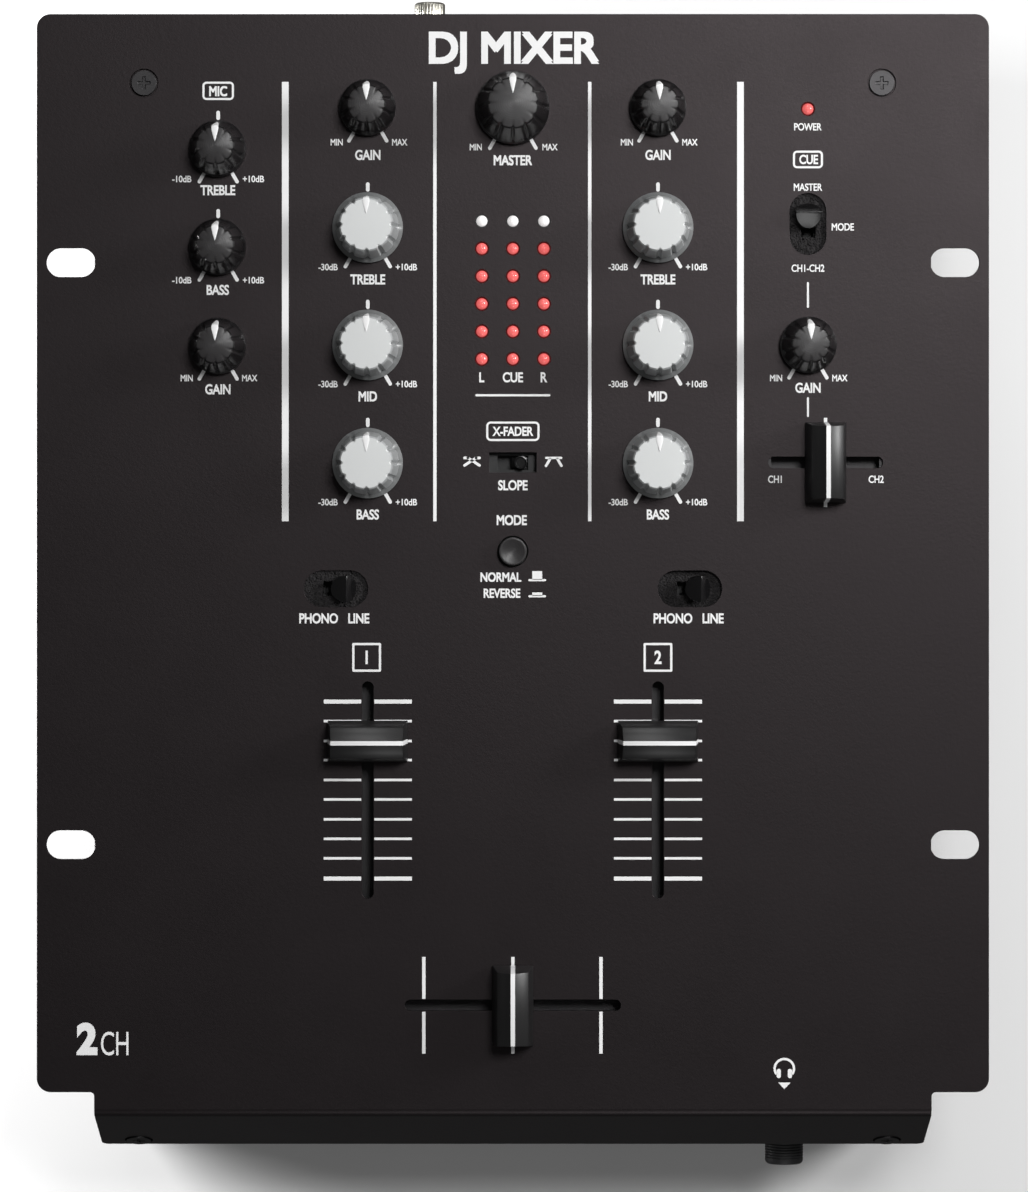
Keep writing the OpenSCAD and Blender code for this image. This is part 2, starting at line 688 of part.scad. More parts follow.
top_panel();
bottom_tray();
front_wall();
rear_panel();
panel_screws();
chassis_screws();
rubber_feet();
control_board();
fader_board();
board_pillars();
pot_bodies();
pot_nuts();
fader_frames();
fader_rods();
switch_bodies();
dust_foams();
red_leds();
white_leds();
led_holder();
phone_jacks();
jack_nuts();
connector_board();
rca_housings();
rca_barrels();
rca_red_inserts();
rca_white_inserts();
ground_stud();
dc_inlet();
power_switch_frame();
filter_capacitors();
regulator_heatsink();
ribbon_cables();
slope_post();
mode_button();
ground_thumb_nut();
power_rocker();
for (k = KNOBS) knob(k);
for (f = FADERS) fader_cap(f);
for (f = FADERS) fader_carriage(f);
for (t = TOGGLES) toggle_lever(t);
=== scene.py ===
"""Looks of a two-channel DJ mixer: finishes, print, knobs, caps and small parts around its CAD frame.

Pieces are modelled in millimetres about their own axis or on the panel, and placed in metres at the end.
A place on the panel is x from the middle and d forwards from the panel's rear edge, as in the part's source.
"""

import json
import math

import bmesh
import bpy
from mathutils import Matrix, Vector, noise


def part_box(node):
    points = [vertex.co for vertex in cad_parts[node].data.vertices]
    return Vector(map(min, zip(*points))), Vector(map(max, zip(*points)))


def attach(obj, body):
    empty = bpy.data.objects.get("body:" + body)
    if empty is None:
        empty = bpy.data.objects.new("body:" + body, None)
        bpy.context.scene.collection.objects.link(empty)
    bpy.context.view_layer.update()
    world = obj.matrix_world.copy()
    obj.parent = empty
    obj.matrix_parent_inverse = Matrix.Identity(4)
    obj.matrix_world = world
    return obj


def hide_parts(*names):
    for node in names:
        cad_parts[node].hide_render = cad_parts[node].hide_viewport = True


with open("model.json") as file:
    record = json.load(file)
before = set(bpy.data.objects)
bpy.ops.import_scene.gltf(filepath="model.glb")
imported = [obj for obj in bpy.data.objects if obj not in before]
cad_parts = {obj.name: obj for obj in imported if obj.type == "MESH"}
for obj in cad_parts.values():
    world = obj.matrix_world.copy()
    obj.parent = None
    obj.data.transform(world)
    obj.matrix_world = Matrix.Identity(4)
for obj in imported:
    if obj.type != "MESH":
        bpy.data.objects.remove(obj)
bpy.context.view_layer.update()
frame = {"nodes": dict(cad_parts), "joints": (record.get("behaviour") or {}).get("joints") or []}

MM = 0.001
NODES = frame["nodes"]
PIVOTS = {j["child"]: Vector(j["pos_m"]) for j in frame["joints"] if "pos_m" in j}
PANEL_LOW, PANEL_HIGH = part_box("top_panel")
FACE = PANEL_HIGH.z
REAR = PANEL_HIGH.y
REAR_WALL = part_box("rear_panel")[1].y
CHANNEL_X = 38.7
MIC_X = -78.6
CUE_X = 78.7
JACK_Z = 43
INK = 0.035
LEVER_LEAN = 15
TURN = 2 * math.pi


# ---------------------------------------------------------------- finishes


class Wire:
    """A socket of a material. Sums on it add Math nodes, and node() adds any other node."""

    def __init__(self, tree, socket=None):
        self.tree = tree
        self.socket = socket

    def node(self, kind, settings=None, values=None, out=0):
        made = self.tree.nodes.new("ShaderNode" + kind)
        for name, value in (settings or {}).items():
            setattr(made, name, value)
        for name, value in (values or {}).items():
            if isinstance(value, Wire):
                self.tree.links.new(value.socket, made.inputs[name])
            else:
                made.inputs[name].default_value = value
        return Wire(self.tree, made.outputs[out])

    def maths(self, operation, *values):
        return self.node("Math", {"operation": operation}, dict(enumerate(values)))

    def __add__(self, other):
        return self.maths("ADD", self, other)

    __radd__ = __add__

    def __mul__(self, other):
        return self.maths("MULTIPLY", self, other)

    __rmul__ = __mul__

    def blend(self, low, high):
        """The colour between low and high, where this wire goes from 0 to 1."""
        return self.node("Mix", {"data_type": "RGBA"}, {0: self, 6: low, 7: high}, out=2)


class Finish:
    """A material with one shader. Constants are set on the shader's sockets, and what varies is wired in."""

    def __init__(self, name, **constants):
        self.material = bpy.data.materials.new(name)
        self.material.use_nodes = True
        self.tree = self.material.node_tree
        self.shader = self.tree.nodes["Principled BSDF"]
        for socket, value in constants.items():
            self.shader.inputs[socket.replace("_", " ").title().replace("Ior", "IOR")].default_value = value
        self.wire = Wire(self.tree)
        self.place = self.wire.node("TexCoord", out="Object")

    def grain(self, size_mm, detail=2.0, place=None):
        """Noise whose features are about size_mm wide."""
        values = {"Vector": place or self.place, "Scale": 1 / (size_mm * MM), "Detail": detail, "Roughness": 0.5}
        return self.wire.node("TexNoise", None, values)

    def cells(self, size_mm):
        """Round cells about size_mm wide."""
        values = {"Vector": self.place, "Scale": 1 / (size_mm * MM)}
        return self.wire.node("TexVoronoi", None, values)

    def stretched(self, x, y, z):
        """Object coordinates scaled by x, y and z, for grain that runs one way."""
        return self.wire.node("Mapping", None, {"Vector": self.place, "Scale": (x, y, z)})

    def feed(self, socket, wire):
        self.tree.links.new(wire.socket, self.shader.inputs[socket])
        return self

    def colour(self, low, high, wire):
        return self.feed("Base Color", wire.blend((*low, 1), (*high, 1)))

    def bump(self, height, depth_mm, strength=1.0):
        values = {"Height": height, "Distance": depth_mm * MM, "Strength": strength}
        return self.feed("Normal", self.wire.node("Bump", None, values))


def powder_coat():
    """Near-black textured coating on the sheet metal."""
    f = Finish("powder_coat", specular_ior_level=0.36, specular_tint=(1, 0.87, 0.9, 1))
    fine, coarse, mottle = f.grain(0.45, 3), f.grain(1.3, 2), f.grain(22, 3)
    f.colour((0.0026, 0.0021, 0.0024), (0.0052, 0.0043, 0.0047), mottle * 0.55 + fine * 0.45)
    f.feed("Roughness", mottle * 0.06 + fine * 0.1 + 0.34)
    return f.bump(fine * 0.7 + coarse * 0.5, 0.05, 0.55).material


def ink():
    """Screen-printed white, worn a little unevenly."""
    f = Finish("print_ink", specular_ior_level=0.4)
    wear = f.grain(1.6, 4)
    f.colour((0.93, 0.93, 0.93), (0.99, 0.99, 0.99), wear)
    f.feed("Roughness", wear * 0.2 + 0.4)
    return f.bump(f.grain(0.3), 0.01, 0.4).material


def moulded(name, low, high, rough, depth=0.012, size=0.25):
    """Moulded plastic: a fine sparked grain, and colour that hardly varies."""
    f = Finish(name)
    cloud, fine = f.grain(9, 3), f.grain(size, 3)
    f.colour(low, high, cloud * 0.6 + fine * 0.4)
    f.feed("Roughness", cloud * 0.08 + fine * 0.1 + rough)
    return f.bump(fine, depth, 0.6).material


def turned(name, low, high, rough):
    """A face with rings round its axis, drawn from the radius stored on the piece."""
    pitch = 0.16
    f = Finish(name)
    radius = f.wire.node("Attribute", {"attribute_name": "ring"}, out="Fac")
    rings = f.wire.maths("SINE", radius * (TURN / pitch))
    uneven = f.wire.maths("SINE", radius * (TURN / (pitch * 3.7)))
    f.colour(low, high, f.grain(6, 3))
    f.feed("Roughness", f.grain(0.8, 3) * 0.12 + rough)
    return f.bump(rings * 0.5 + uneven * 0.5, 0.006, 0.9).material


def metal(name, low, high, rough, size=0.3, along=(1, 1, 1)):
    """Bare or plated metal with a grain that may run one way."""
    f = Finish(name, metallic=1.0)
    brushed = f.grain(size, 3, f.stretched(*along))
    cloud = f.grain(7, 3)
    f.colour(low, high, cloud * 0.5 + brushed * 0.5)
    f.feed("Roughness", cloud * 0.12 + brushed * 0.12 + rough)
    return f.bump(brushed, 0.004, 0.5).material


def open_foam():
    """Dark foam with open pores."""
    f = Finish("open_foam", specular_ior_level=0.15)
    pores, cloud, fine = f.cells(0.55), f.grain(2.2, 4), f.grain(0.5, 3)
    # Darker in the pits of the pores: painted shade, with random tone from the cloud.
    pits_painted_shading_and_tone = pores * 0.88 + cloud * 0.45
    f.colour((0.006, 0.0055, 0.006), (0.035, 0.033, 0.034), pits_painted_shading_and_tone)
    f.feed("Roughness", fine * 0.1 + 0.88)
    return f.bump(pores + fine * 0.5, 0.3, 0.9).material


def lens(name, low, high, glow):
    """The clear-coated dome of a light that is on."""
    f = Finish(name, coat_weight=0.6, coat_roughness=0.05, emission_strength=glow)
    cloud = f.grain(1.1, 3)
    f.colour(low, high, cloud)
    f.feed("Emission Color", cloud.blend((*low, 1), (*high, 1)))
    f.feed("Roughness", cloud * 0.15 + 0.12)
    return f.bump(f.grain(0.5), 0.006, 0.4).material


def board_mask():
    """Green solder mask over raised tracks."""
    f = Finish("solder_mask", coat_weight=0.3)
    tracks = f.wire.node("TexBrick", {"offset": 0.5}, {
        "Vector": f.place, "Scale": 1 / (3.2 * MM), "Color1": (1, 1, 1, 1), "Color2": (0.6, 0.6, 0.6, 1),
        "Mortar": (0, 0, 0, 1), "Mortar Size": 0.05, "Brick Width": 2.2, "Row Height": 0.6,
    })
    level = f.wire.node("SeparateColor", None, {"Color": tracks}) * 0.7 + f.grain(4) * 0.3
    f.colour((0.006, 0.03, 0.014), (0.018, 0.085, 0.035), level)
    f.feed("Roughness", f.grain(1.5) * 0.15 + 0.25)
    return f.bump(level, 0.03, 0.6).material


PAINT = {
    "powder_coat": powder_coat(),
    "ink": ink(),
    "knob": moulded("knob_gloss_black", (0.006, 0.0055, 0.006), (0.011, 0.010, 0.0105), 0.2, 0.006),
    "knob_top": turned("knob_top_black", (0.018, 0.017, 0.0175), (0.026, 0.024, 0.025), 0.26),
    # The tone knob is one frosted plastic given three tones by height: painted shade on the darker skirt and body,
    # painted light on the pale top.
    "tone_skirt": moulded("tone_skirt_painted_shade", (0.15, 0.154, 0.155), (0.22, 0.226, 0.227), 0.22, 0.006),
    "tone_body": moulded("tone_body_painted_shade", (0.34, 0.352, 0.355), (0.43, 0.442, 0.445), 0.36, 0.008),
    "tone_top": moulded("tone_top_painted_light", (0.66, 0.675, 0.672), (0.74, 0.755, 0.752), 0.45, 0.006),
    "pointer": moulded("pointer_white", (0.88, 0.88, 0.88), (0.95, 0.95, 0.95), 0.4, 0.004),
    "cap": moulded("cap_satin_black", (0.009, 0.0088, 0.009), (0.016, 0.0156, 0.016), 0.3, 0.014, 0.3),
    "lever": moulded("lever_gloss_black", (0.0045, 0.0045, 0.005), (0.009, 0.0085, 0.009), 0.1, 0.004),
    "button": moulded("button_satin_black", (0.02, 0.019, 0.0195), (0.032, 0.03, 0.031), 0.32, 0.006),
    "dark_plastic": moulded("housing_black", (0.012, 0.012, 0.013), (0.024, 0.024, 0.025), 0.4, 0.02, 0.4),
    "red_plastic": moulded("insert_red", (0.42, 0.018, 0.018), (0.55, 0.03, 0.03), 0.3),
    "white_plastic": moulded("insert_white", (0.72, 0.71, 0.67), (0.84, 0.83, 0.8), 0.3),
    "foam": open_foam(),
    "red_lens": lens("light_red", (0.62, 0.09, 0.085), (0.78, 0.15, 0.145), 0.72),
    "white_lens": lens("light_clear", (0.74, 0.72, 0.72), (0.86, 0.84, 0.84), 0.6),
    # The rims round the red lights are painted red glow: the light of the lamps on the walls of their holes.
    "painted_red_lamp_glow": moulded("lamp_glow_rim_painted", (0.05, 0.002, 0.003), (0.14, 0.004, 0.006), 0.45),
    "rubber": moulded("foot_rubber", (0.01, 0.01, 0.01), (0.02, 0.02, 0.02), 0.68, 0.03, 0.5),
    "black_steel": metal("screw_black_oxide", (0.03, 0.03, 0.032), (0.075, 0.072, 0.073), 0.3),
    "zinc": metal("zinc_plate", (0.5, 0.51, 0.52), (0.66, 0.67, 0.69), 0.28, 0.8),
    "rod": metal("polished_rod", (0.68, 0.69, 0.7), (0.78, 0.79, 0.8), 0.1),
    "nickel": metal("nickel_plate", (0.55, 0.53, 0.47), (0.72, 0.7, 0.62), 0.2),
    "heatsink": metal("extruded_aluminium", (0.42, 0.43, 0.44), (0.58, 0.59, 0.6), 0.34, 0.5, (1, 1, 0.05)),
    "sleeve": moulded("capacitor_sleeve", (0.015, 0.025, 0.09), (0.03, 0.045, 0.14), 0.25),
    "ribbon": moulded("flat_cable", (0.3, 0.3, 0.32), (0.46, 0.46, 0.48), 0.5, 0.05, 1.2),
    "board": board_mask(),
}


# ---------------------------------------------------------------- making pieces


def on_panel(x, d, height=0.0):
    """The matrix that puts a shape modelled in mm at x and d on the panel's face."""
    return Matrix.Translation((x * MM, REAR - d * MM, FACE + height * MM)) @ Matrix.Scale(MM, 4)


def above(node):
    """The point on the panel's face over a node's middle."""
    low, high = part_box(node)
    return Vector(((low.x + high.x) / 2, (low.y + high.y) / 2, FACE))


def at_point(point, turn=None):
    """The matrix that puts a shape modelled in mm about its own origin at a point, turned."""
    made = Matrix.Translation(point) @ Matrix.Scale(MM, 4)
    return made @ turn if turn else made


def raise_faces(bm, height):
    """Thickens a flat shape upwards by height."""
    made = bmesh.ops.extrude_face_region(bm, geom=bm.faces[:])["geom"]
    bmesh.ops.translate(bm, verts=[v for v in made if isinstance(v, bmesh.types.BMVert)], vec=(0, 0, height))
    return outwards(bm)


def outwards(bm):
    """Merges doubles and turns the faces outwards."""
    bmesh.ops.remove_doubles(bm, verts=bm.verts, dist=1e-4)
    bmesh.ops.recalc_face_normals(bm, faces=bm.faces)
    return bm


def lathe(outline, steps=96, closed=False):
    """The shape that an outline of radii and heights makes when it turns about Z."""
    bm = bmesh.new()
    line = [bm.verts.new((r, 0, z)) for r, z in outline]
    for a, b in zip(line, line[1:] + (line[:1] if closed else [])):
        bm.edges.new((a, b))
    bmesh.ops.spin(bm, geom=bm.verts[:] + bm.edges[:], cent=(0, 0, 0), axis=(0, 0, 1), angle=TURN,
                   steps=steps, use_merge=True)
    return outwards(bm)


def slab(outline, z0, z1):
    """A flat outline raised from z0 to z1."""
    bm = bmesh.new()
    bm.faces.new([bm.verts.new((x, y, z0)) for x, y in outline])
    return raise_faces(bm, z1 - z0)


def soften(bm, offset, segments=2, angle=35, where=None):
    """Rounds the edges that are sharper than angle."""
    sharp = [e for e in bm.edges if len(e.link_faces) == 2 and e.calc_face_angle(0) > math.radians(angle)]
    if where:
        sharp = [e for e in sharp if all(where(v.co) for v in e.verts)]
    bmesh.ops.bevel(bm, geom=sharp, offset=offset, offset_type="OFFSET", segments=segments, profile=0.5,
                    affect="EDGES", material=-1, clamp_overlap=True)
    return bm


def paint(bm, index, test):
    """Gives material index to the faces whose middle and normal pass the test."""
    for face in bm.faces:
        if test(face.calc_center_median(), face.normal):
            face.material_index = index
    return bm


def join(bm, other, matrix=None, index=None):
    """Adds another shape to bm, and frees it."""
    if matrix:
        bmesh.ops.transform(other, matrix=matrix, verts=other.verts)
    if index is not None:
        for face in other.faces:
            face.material_index = index
    mesh = bpy.data.meshes.new("part")
    other.to_mesh(mesh)
    other.free()
    bm.from_mesh(mesh)
    bpy.data.meshes.remove(mesh)
    return bm


def finish_piece(bm, name, body, paints, matrix=None, replaces=(), sharp=32, rings=False):
    """Makes the object: its place in its mesh, smooth faces between sharp edges, riding on its body."""
    mesh = bpy.data.meshes.new(name)
    for face in bm.faces:
        face.smooth = True
    if rings:
        layer = bm.verts.layers.float.new("ring")
        for v in bm.verts:
            v[layer] = math.hypot(v.co.x, v.co.y)
    if matrix:
        bmesh.ops.transform(bm, matrix=matrix, verts=bm.verts)
    bm.to_mesh(mesh)
    bm.free()
    mesh.set_sharp_from_angle(angle=math.radians(sharp))
    piece = bpy.data.objects.new(name, mesh)
    bpy.context.scene.collection.objects.link(piece)
    for key in paints:
        mesh.materials.append(PAINT[key])
    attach(piece, body)
    if replaces:
        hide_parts(*replaces)
    return piece


def finished_node(name, node, paints, width, body="root"):
    """A merged copy of a CAD node with its hard edges rounded, standing for the node."""
    bm = bmesh.new()
    bm.from_mesh(NODES[node].data)
    bmesh.ops.remove_doubles(bm, verts=bm.verts, dist=2e-6)
    bmesh.ops.dissolve_limit(bm, angle_limit=math.radians(0.5), verts=bm.verts, edges=bm.edges)
    piece = finish_piece(bm, name, body, paints, replaces=[node])
    rounding = piece.modifiers.new("rounded edges", "BEVEL")
    rounding.width = width * MM
    rounding.segments = 2
    rounding.limit_method = "ANGLE"
    rounding.angle_limit = math.radians(40)
    rounding.use_clamp_overlap = True
    weighing = piece.modifiers.new("flat faces first", "WEIGHTED_NORMAL")
    weighing.weight = 90
    weighing.keep_sharp = True
    return piece


# ---------------------------------------------------------------- sheet metal and plain nodes

CARRIED = {
    "zinc": ["chassis_screws", "board_pillars", "pot_bodies", "pot_nuts"],
    "black_steel": ["fader_frames"],
    "board": ["control_board", "fader_board", "connector_board"],
    "rod": ["fader_rods"],
    "dark_plastic": ["switch_bodies", "led_holder", "rca_housings", "phone_jacks"],
    "sleeve": ["filter_capacitors"],
    "heatsink": ["regulator_heatsink"],
    "ribbon": ["ribbon_cables"],
    "white_plastic": ["ch1_fader_carriage", "ch2_fader_carriage", "crossfader_carriage", "cue_fader_carriage"],
    "nickel": ["ground_stud"],
}
for key, names in CARRIED.items():
    for name in names:
        mesh = NODES[name].data
        mesh.materials.clear()
        mesh.materials.append(PAINT[key])

for node in ("top_panel", "bottom_tray", "front_wall", "rear_panel"):
    finished_node(node + "_coated", node, ["powder_coat"], 0.15)
finished_node("panel_screws_oxide", "panel_screws", ["black_steel"], 0.18)
finished_node("phono_barrels", "rca_barrels", ["nickel"], 0.15)
finished_node("phono_inserts_red", "rca_red_inserts", ["red_plastic"], 0.15)
finished_node("phono_inserts_white", "rca_white_inserts", ["white_plastic"], 0.15)
finished_node("power_inlet", "dc_inlet", ["dark_plastic"], 0.2)
finished_node("switch_frame", "power_switch_frame", ["dark_plastic"], 0.3)
finished_node("rocker", "power_rocker", ["button"], 0.3, "power_rocker")


# ---------------------------------------------------------------- knobs


def fall(outline, s):
    """The point and outward normal s mm along an outline that starts on the axis."""
    for (r0, z0), (r1, z1) in zip(outline, outline[1:]):
        run = math.hypot(r1 - r0, z1 - z0)
        if s <= run or (r1, z1) == outline[-1]:
            t = min(s / run, 1)
            return r0 + (r1 - r0) * t, z0 + (z1 - z0) * t, -(z1 - z0) / run, (r1 - r0) / run
        s -= run


def pointer(outline, s_in, s_out, half_width):
    """A raised teardrop from s_in to s_out along a knob's outline, pointed towards the axis."""
    bm = bmesh.new()
    bmesh.ops.create_grid(bm, x_segments=8, y_segments=60, size=0.5)
    r_in, r_out = fall(outline, s_in)[0], fall(outline, s_out)[0]
    for v in bm.verts:
        r, z, out, up = fall(outline, s_in + (s_out - s_in) * (v.co.y + 0.5))
        along = (r - r_in) / (r_out - r_in)
        taper = min(1, along / 0.6) ** 0.8
        end = min(1, max(0, (along - 0.66) / 0.34))
        side = 2 * v.co.x * half_width * taper * math.sqrt(1 - 0.9 * end * end)
        lift = 0.14 * (1 - (2 * v.co.x) ** 4 * 0.6)
        r, z = r + out * lift, z + up * lift
        angle = side / max(r, 0.5)
        v.co = (r * math.sin(angle), r * math.cos(angle), z) if r > 1.4 * half_width else (side, r, z)
    outwards(bm)
    bmesh.ops.solidify(bm, geom=bm.faces[:], thickness=0.5)
    return outwards(bm)


def flute(bm, count, depth, half_width, z_low, r_low):
    """Presses count flutes into the side and rim, leaving out the one behind the pointer."""
    for v in bm.verts:
        r = math.hypot(v.co.x, v.co.y)
        if v.co.z < z_low or r < r_low:
            continue
        angle = math.atan2(v.co.y, v.co.x) - TURN / 4
        nearest = round(angle * count / TURN)
        off = (angle - nearest * TURN / count) * r
        if nearest % count and abs(off) < half_width:
            shrink = 1 - depth * (1 - (off / half_width) ** 2) / r
            v.co.x *= shrink
            v.co.y *= shrink
    return bm


def knob(node, height, base_r, skirt, neck_r, top_r, dome, flutes, depth, start, paints):
    """A knob, its pointer from start mm off the axis, and its shaft. Paints: skirt, body, top, pointer and shaft."""
    low = 0.8
    face = [(0, height), (0.3 * top_r, height - 0.1 * dome), (0.6 * top_r, height - 0.36 * dome),
            (0.84 * top_r, height - 0.7 * dome), (top_r, height - dome)]
    side = [(top_r + 0.42, height - dome - 0.42), (neck_r, skirt + 0.8)]
    rim = [(base_r - 0.25, skirt), (base_r, skirt - 0.25), (base_r, low + 0.3), (base_r - 0.3, low)]
    under = [(5.9, low), (5.9, 3.0), (3.02, 3.0), (3.02, height - 2.5), (0, height - 2.5)]
    bm = lathe(face + side + rim + under, 180)
    flute(bm, flutes, depth, depth + 0.1, skirt + 0.6, top_r - 0.05)
    paint(bm, 0, lambda c, n: c.z < skirt + 0.4)
    paint(bm, 1, lambda c, n: c.z > skirt + 0.4)
    paint(bm, 2, lambda c, n: math.hypot(c.x, c.y) < top_r and c.z > height - 1.2 - dome)
    outline = face + side
    length = sum(math.dist(a, b) for a, b in zip(outline, outline[1:]))
    join(bm, pointer(outline, start, length - 2.2, 0.92), index=3)
    join(bm, lathe([(0, height - 2.52), (2.8, height - 2.52), (3, height - 2.8), (3, -7.7), (0, -7.7)], 48), index=4)
    return finish_piece(bm, node + "_moulded", node, paints, at_point(PIVOTS[node]), [node], 30, True)


SMALL_R = 7.5
TONE_R = 9.4
MASTER_R = 9.75
BLACK = ["knob", "knob", "knob_top", "pointer", "zinc"]
# The tone knobs' three tones are painted light and shade on one frosted plastic, darker towards the panel.
PALE = ["tone_skirt", "tone_body", "tone_top", "pointer", "zinc"]
SMALL = ["mic_treble", "mic_bass", "mic_gain", "ch1_gain", "ch2_gain", "cue_gain"]
TONE = ["ch1_treble", "ch1_mid", "ch1_bass", "ch2_treble", "ch2_mid", "ch2_bass"]
for name in SMALL:
    knob(name + "_knob", 15, SMALL_R, 3.2, 6.9, 4.75, 0.35, 10, 0.5, 1.0, BLACK)
for name in TONE:
    knob(name + "_knob", 16, TONE_R, 1.8, 8.35, 6.7, 0.1, 12, 0.6, 2.9, PALE)
knob("master_knob", 18, MASTER_R, 3.2, 9.15, 6.4, 0.4, 12, 0.5, 2.5, BLACK)


# ---------------------------------------------------------------- fader caps

CAP_SIDE = [(5.5, 0.8), (5.25, 2.8), (4.2, 10.6), (4.0, 10.88), (2.6, 11.6), (1.5, 12.3), (0.6, 13.0)]


def fader_cap(name, along_x):
    """A cap with a roof whose white line runs over its ridge and down both ends."""
    half = 10.8
    line_half = 0.58
    bm = slab(CAP_SIDE + [(-x, z) for x, z in reversed(CAP_SIDE)], -half, half)
    bmesh.ops.rotate(bm, verts=bm.verts, cent=(0, 0, 0), matrix=Matrix.Rotation(math.radians(90), 3, "X"))
    for v in bm.verts:
        v.co.y *= 1 - 1.3 * v.co.z / 14 / half
    soften(bm, 0.22, 2, 50, lambda p: abs(p.y) > half - 2 and p.z > 0.7)
    for x in (-line_half, line_half):
        bmesh.ops.bisect_plane(bm, geom=bm.verts[:] + bm.edges[:] + bm.faces[:], dist=1e-5,
                               plane_co=(x, 0, 0), plane_no=(1, 0, 0))
    outwards(bm)
    paint(bm, 1, lambda c, n: abs(c.x) < line_half and n.z > -0.5 and c.z > 1.2)
    turn = None if along_x else Matrix.Rotation(math.radians(90), 4, "Z")
    return finish_piece(bm, name + "_cap_moulded", name, ["cap", "pointer"],
                        at_point(above(name + "_cap"), turn), [name + "_cap"], 28)


for name, along_x in (("ch1_fader", False), ("ch2_fader", False), ("crossfader", True), ("cue_fader", True)):
    fader_cap(name, along_x)


# ---------------------------------------------------------------- toggles and their foam


def toggle(node, axis, sign):
    """A round-headed lever with two slopes meeting in a ridge, leaning to its stop, with its pivot pin."""
    bm = lathe([(0, 11.6), (3.5, 11.6), (3.5, 7.4), (3.3, 7.0), (2.4, 6.15), (1.25, 5.9), (1.2, 3), (1.2, 1.1),
                (1.5, 0.3), (1.5, -0.5), (1.0, -1.2), (0, -1.5)], 96)
    for side in (-1, 1):
        cut = bmesh.ops.bisect_plane(bm, geom=bm.verts[:] + bm.edges[:] + bm.faces[:], dist=1e-5, clear_outer=True,
                                     plane_co=(side * 0.25, 0, 11.5), plane_no=(side * 1.054, 0, 1))
        rim = [e for e in cut["geom_cut"] if isinstance(e, bmesh.types.BMEdge)]
        bmesh.ops.contextual_create(bm, geom=rim)
    bmesh.ops.recalc_face_normals(bm, faces=bm.faces)
    soften(bm, 0.28, 4, 38, lambda p: p.z > 7.6)
    ride_axis = Matrix.Rotation(math.radians(-90), 4, "Z") if axis == "X" else Matrix.Identity(4)
    spin = Matrix.Rotation(math.radians(LEVER_LEAN * sign), 4, axis)
    bmesh.ops.transform(bm, matrix=spin @ ride_axis, verts=bm.verts)
    pin = lathe([(0, 3), (0.7, 3), (0.8, 2.9), (0.8, -2.9), (0.7, -3), (0, -3)], 24)
    join(bm, pin, Matrix.Rotation(math.radians(90), 4, "X" if axis == "Y" else "Y"))
    finish_piece(bm, node + "_moulded", node, ["lever"], at_point(PIVOTS[node]), [node], 30)


toggle("ch1_source_lever", "Y", 1)
toggle("ch2_source_lever", "Y", 1)
toggle("cue_mode_lever", "X", -1)


def foam_pad(bm, node, length, width, along_x):
    """Open foam behind a toggle's opening, torn into an uneven surface, slit for the lever."""
    pad = bmesh.new()
    bmesh.ops.create_grid(pad, x_segments=72, y_segments=46, size=0.5)
    seed = PIVOTS[node] * 1000
    for v in pad.verts:
        v.co.x *= length
        v.co.y *= width
        lumps = noise.noise(Vector((v.co.x * 0.7, v.co.y * 0.7, 0)) + seed) * 0.22
        pits = noise.noise(Vector((v.co.x * 2.1, v.co.y * 2.1, 3)) + seed) * 0.2
        v.co.z = -1.8 + lumps + pits
    inside = [f for f in pad.faces
              if abs(f.calc_center_median().y) < 1.9 and abs(f.calc_center_median().x) < 3.4]
    bmesh.ops.delete(pad, geom=inside, context="FACES")
    bmesh.ops.recalc_face_normals(pad, faces=pad.faces)
    bmesh.ops.solidify(pad, geom=pad.faces[:], thickness=1.0)
    outwards(pad)
    place = Vector((PIVOTS[node].x, PIVOTS[node].y, FACE))
    join(bm, pad, at_point(place, None if along_x else Matrix.Rotation(math.radians(90), 4, "Z")))


foam = bmesh.new()
for node, length, along_x in (("ch1_source_lever", 20.1, True), ("ch2_source_lever", 20.1, True),
                              ("cue_mode_lever", 19.4, False)):
    foam_pad(foam, node, length, 12.7, along_x)
foam = finish_piece(foam, "dust_foam", "root", ["foam"], replaces=["dust_foams"], sharp=180)


# ---------------------------------------------------------------- meter lights

METER_X = (-8.27, 0, 8.27)
METER_D = [55.2 + 7.36 * row for row in range(6)]
POWER_LIGHT = (CUE_X, 25.3)


def light(bm, x, d):
    """A domed light in its hole."""
    made = lathe([(0, 0.9), (0.42, 0.84), (0.85, 0.62), (1.22, 0.28), (1.44, -0.18), (1.5, -0.6), (1.5, -7),
                  (1.9, -7), (1.9, -8.4), (0, -8.4)], 40)
    join(bm, made, on_panel(x, d))


red, clear, rims = bmesh.new(), bmesh.new(), bmesh.new()
for x in METER_X:
    light(clear, x, METER_D[0])
    for d in METER_D[1:]:
        light(red, x, d)
light(red, *POWER_LIGHT)
# Rims in the holes: painted red glow round the red lights, dark plastic round the clear ones.
for x, d in [(x, d) for x in METER_X for d in METER_D] + [POWER_LIGHT]:
    ring = lathe([(1.53, -0.7), (1.84, -0.35), (1.84, -1.4), (1.53, -1.4)], 40, True)
    join(rims, ring, on_panel(x, d), index=0 if d != METER_D[0] else 1)
finish_piece(red, "lights_red", "root", ["red_lens"], replaces=["red_leds"], sharp=50)
finish_piece(clear, "lights_clear", "root", ["white_lens"], replaces=["white_leds"], sharp=50)
finish_piece(rims, "light_rims", "root", ["painted_red_lamp_glow", "dark_plastic"], sharp=50)


# ---------------------------------------------------------------- button, post, sockets, nut and feet

button = lathe([(0, 2.6), (1.2, 2.66), (2.2, 2.82), (3.0, 2.92), (3.4, 3.0), (3.6, 2.95), (3.75, 2.75),
                (3.75, -1.5), (1.5, -1.5), (1.5, -5.9), (0, -5.9)], 96)
finish_piece(button, "mode_button_moulded", "mode_button", ["knob_top"],
             at_point(above("mode_button")), ["mode_button"], 30, True)

